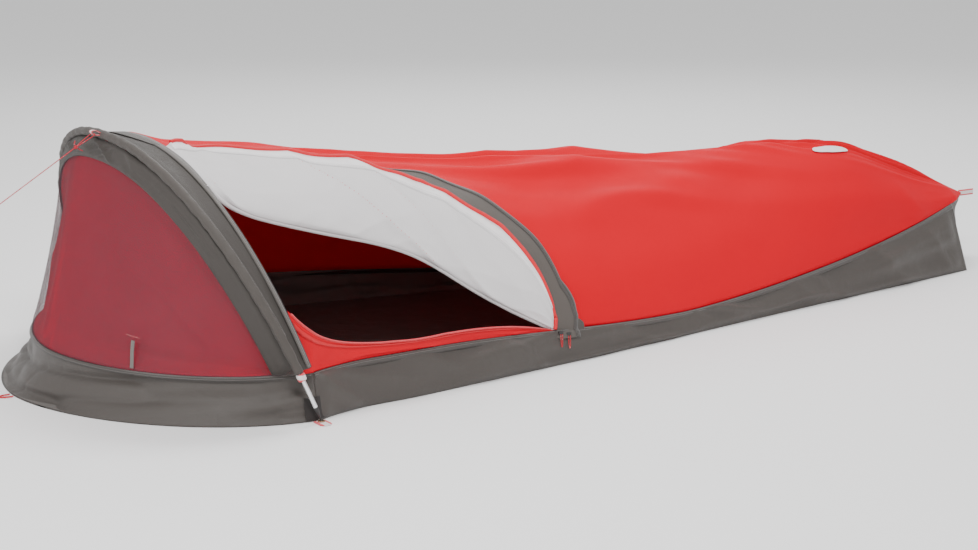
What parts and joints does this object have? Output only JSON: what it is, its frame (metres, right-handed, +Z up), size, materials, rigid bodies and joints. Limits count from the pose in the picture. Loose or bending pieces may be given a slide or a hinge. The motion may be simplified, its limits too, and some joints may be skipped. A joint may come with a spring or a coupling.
{
  "type": "bivy sack",
  "caption": "One-person bivouac sack: tub floor, single leaning hoop over the head, mesh vent, red shell tapering to the foot, side door folded back over the roof.",
  "frame": {"origin": "on the ground, under the middle of the outline (cord nodes left out)", "axes": "+X toward the foot, +Z up, -Y the door side"},
  "size_m": [2.559, 1, 0.4991],
  "materials": {
    "grey_nylon": "grey-brown coated nylon, matt",
    "light_grey_nylon": "lighter grey nylon",
    "red_shell": "red waterproof ripstop shell",
    "pale_lining": "pale grey coated inner face",
    "maroon_mesh": "fine insect mesh",
    "pale_webbing": "white webbing with red edges",
    "red_cord": "thin red cord",
    "black_webbing": "black reinforcement and zip tape",
    "black_plastic": "black moulded plastic",
    "aluminium_tube": "anodised aluminium tube",
    "brass_grommet": "brass",
    "elastic": "elastic cord"
  },
  "bodies": {
    "tub": {"canopy_near_panel": "red_shell", "canopy_far_panel": "red_shell", "foot_patch": "pale_lining", "floor_panel": "grey_nylon", "tub_wall_head": "grey_nylon", "tub_wall_near": "grey_nylon", "tub_wall_far": "grey_nylon", "tub_wall_foot": "grey_nylon", "corner_patch_near": "black_webbing", "corner_patch_far": "black_webbing", "grommet_tab_near": "pale_webbing", "grommet_tab_far": "pale_webbing", "grommet_ring_near": "brass_grommet", "grommet_ring_far": "brass_grommet", "foot_tab": "pale_webbing", "head_stake_loop": "red_cord", "door_sill": "red_shell", "zip_tape_sill": "black_webbing", "vent_mesh": "maroon_mesh", "vent_cover": "red_shell", "vent_toggle_strap": "grey_nylon", "vent_toggle_cord": "red_cord"},
    "hoop": {"pole_section_near": "aluminium_tube", "pole_section_top": "aluminium_tube", "pole_section_far": "aluminium_tube", "ferrule_near": "aluminium_tube", "ferrule_far": "aluminium_tube", "pole_tip_near": "black_plastic", "pole_tip_far": "black_plastic", "shock_cord": "elastic", "pole_sleeve": "grey_nylon", "sleeve_end_loop_near": "pale_webbing", "sleeve_end_loop_far": "pale_webbing", "hoop_band": "grey_nylon", "hoop_strip": "light_grey_nylon", "zip_tape_hoop": "black_webbing", "hoop_guy_tab": "pale_webbing"},
    "door": {"door_panel": "pale_lining", "zip_tape_door": "black_webbing", "storm_flap": "grey_nylon"},
    "zip_lower": {"zip_slider_lower": "black_plastic"},
    "zip_upper": {"zip_slider_upper": "black_plastic"},
    "pull_lower": {"zip_pull_lower": "red_cord"},
    "pull_upper": {"zip_pull_upper": "red_cord"},
    "guyline": {"guyline": "red_cord", "guyline_knot": "red_cord", "guyline_end_loop": "red_cord"}
  },
  "joints": [
    {"name": "hoop_tilt", "type": "hinge", "parent": "tub", "child": "hoop", "pos_m": [-0.81, 0, 0.0046], "axis": [0, -1, 0], "range_deg": [-14, 0], "deforming": ["vent_mesh", "vent_cover", "vent_toggle_strap", "vent_toggle_cord", "hoop_band", "hoop_strip", "zip_tape_hoop", "canopy_near_panel", "canopy_far_panel", "foot_patch"]},
    {"name": "door_fold", "type": "hinge", "parent": "tub", "child": "door", "pos_m": [-0.93941, -0.18866, 0.44785], "axis": [0.8733, -0.1764, -0.4541], "range_deg": [0, 170], "deforming": ["door_panel", "zip_tape_door", "storm_flap"]},
    {"name": "zip_slide_lower", "type": "slide", "parent": "tub", "child": "zip_lower", "axis": [-0.9759, -0.17, 0.1367], "range_m": [0, 0.3]},
    {"name": "zip_slide_upper", "type": "slide", "parent": "tub", "child": "zip_upper", "axis": [-0.9759, -0.17, 0.1367], "range_m": [0, 0.3]},
    {"name": "pull_swing_lower", "type": "hinge", "parent": "zip_lower", "child": "pull_lower", "pos_m": [-0.202, -0.35435, 0.06131], "axis": [1, 0, 0], "range_deg": [-90, 0]},
    {"name": "pull_swing_upper", "type": "hinge", "parent": "zip_upper", "child": "pull_upper", "pos_m": [-0.182, -0.35284, 0.05564], "axis": [1, 0, 0], "range_deg": [-90, 0]},
    {"name": "guyline_swing", "type": "hinge", "parent": "hoop", "child": "guyline", "pos_m": [-1.03559, 0, 0.49135], "axis": [0, 1, 0], "range_deg": [-30, 0]}
  ],
  "couplings": [
    {"joint": "zip_slide_upper", "follows": "zip_slide_lower", "ratio": 1}
  ]
}
